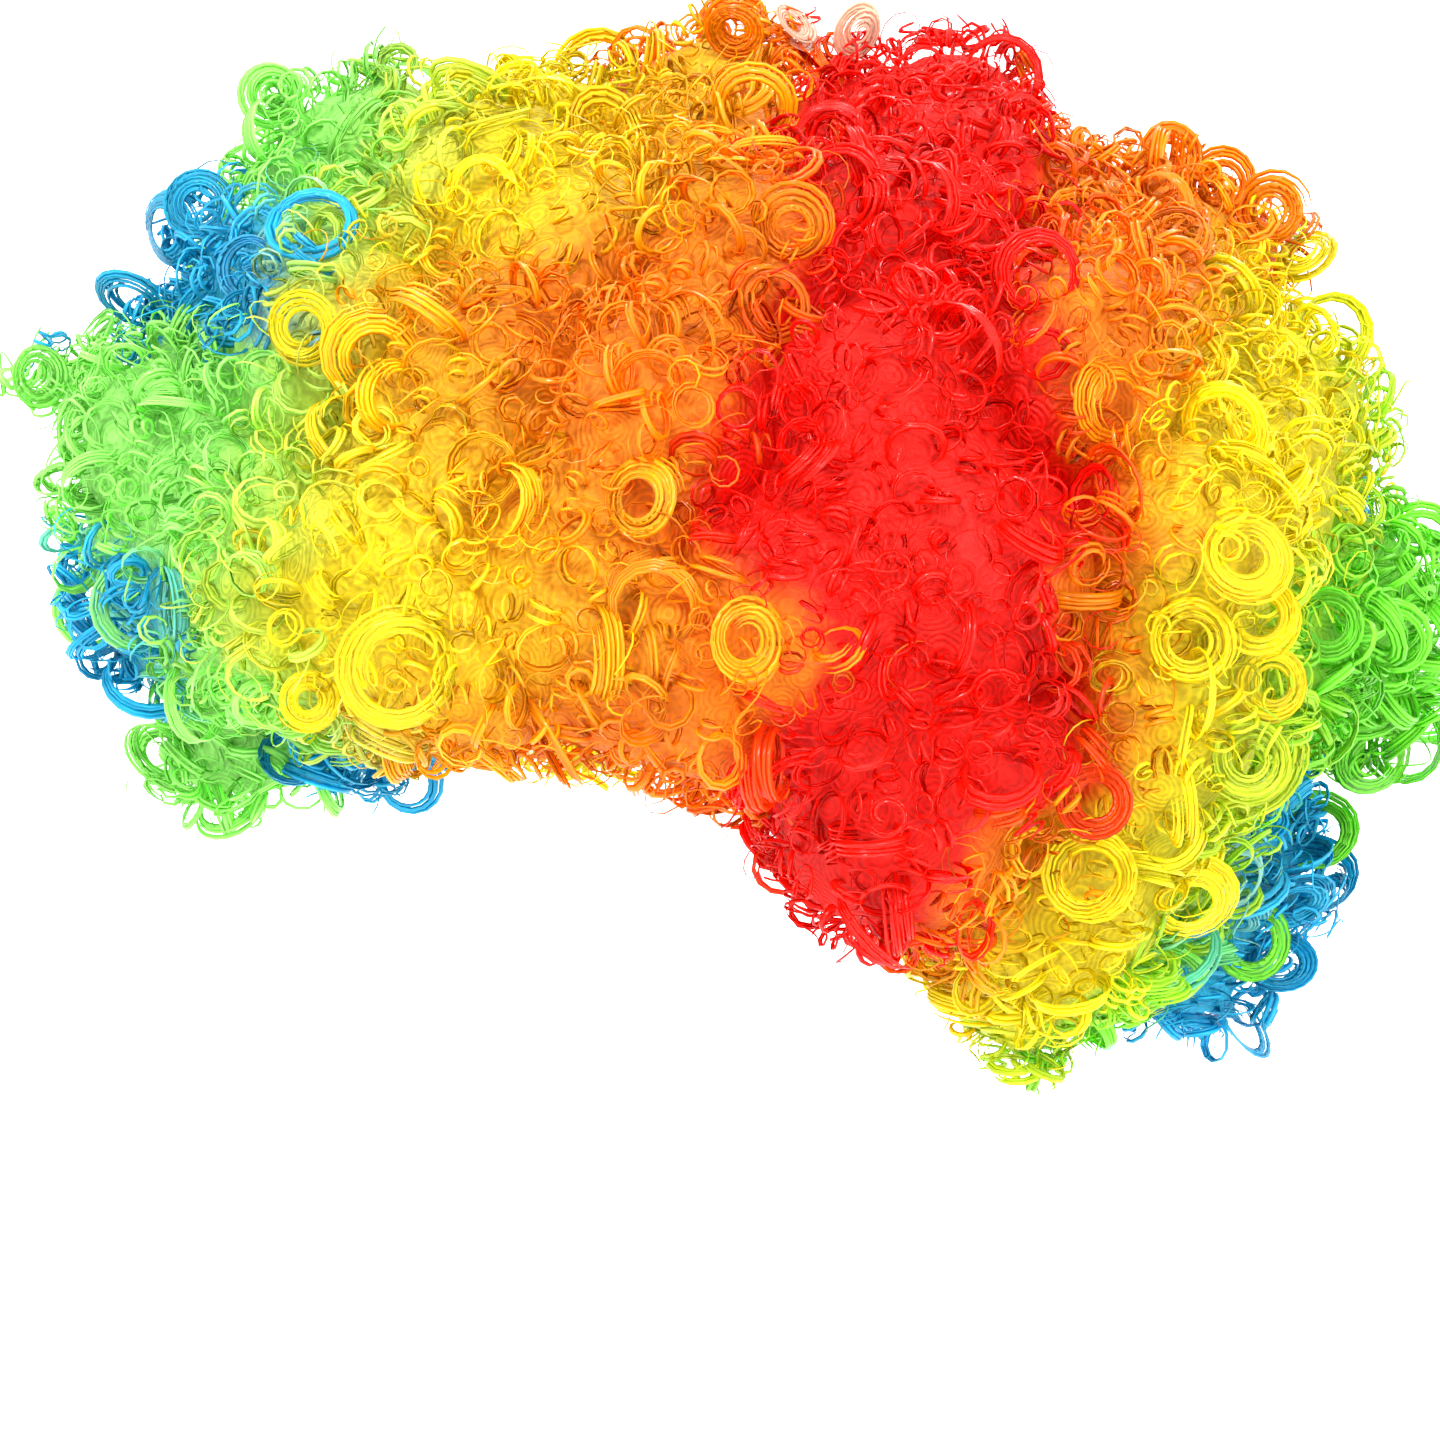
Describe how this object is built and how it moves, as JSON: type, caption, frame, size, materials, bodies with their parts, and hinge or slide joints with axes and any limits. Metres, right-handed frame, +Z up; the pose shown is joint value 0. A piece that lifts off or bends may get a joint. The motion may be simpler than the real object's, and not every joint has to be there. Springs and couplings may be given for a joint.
{
  "type": "curly clown wig",
  "caption": "Round curly clown wig in rainbow stripes, on an open net cap with an elastic edge that grips the head.",
  "frame": {"origin": "the crown seat: the inside of the cap where it rests on top of the head", "axes": "+Z up, -Y the way the face looks, +X the wearer's left"},
  "size_m": [0.3839, 0.3628, 0.2771],
  "materials": {
    "cap_net": "open black stretch net",
    "elastic": "matt woven elastic",
    "red_curls": "glossy curled synthetic fibre",
    "orange_curls": "glossy curled synthetic fibre",
    "yellow_curls": "glossy curled synthetic fibre",
    "green_curls": "glossy curled synthetic fibre",
    "blue_curls": "glossy curled synthetic fibre"
  },
  "bodies": {
    "root": {"wig_cap": "cap_net", "elastic_band": "elastic", "hair_red": "red_curls", "hair_orange_right": "orange_curls", "hair_orange_left": "orange_curls", "hair_orange_temple": "orange_curls", "hair_yellow_right": "yellow_curls", "hair_yellow_left": "yellow_curls", "hair_green_right": "green_curls", "hair_green_back": "green_curls", "hair_green_left": "green_curls", "hair_blue_right": "blue_curls", "hair_blue_left": "blue_curls"}
  },
  "joints": []
}
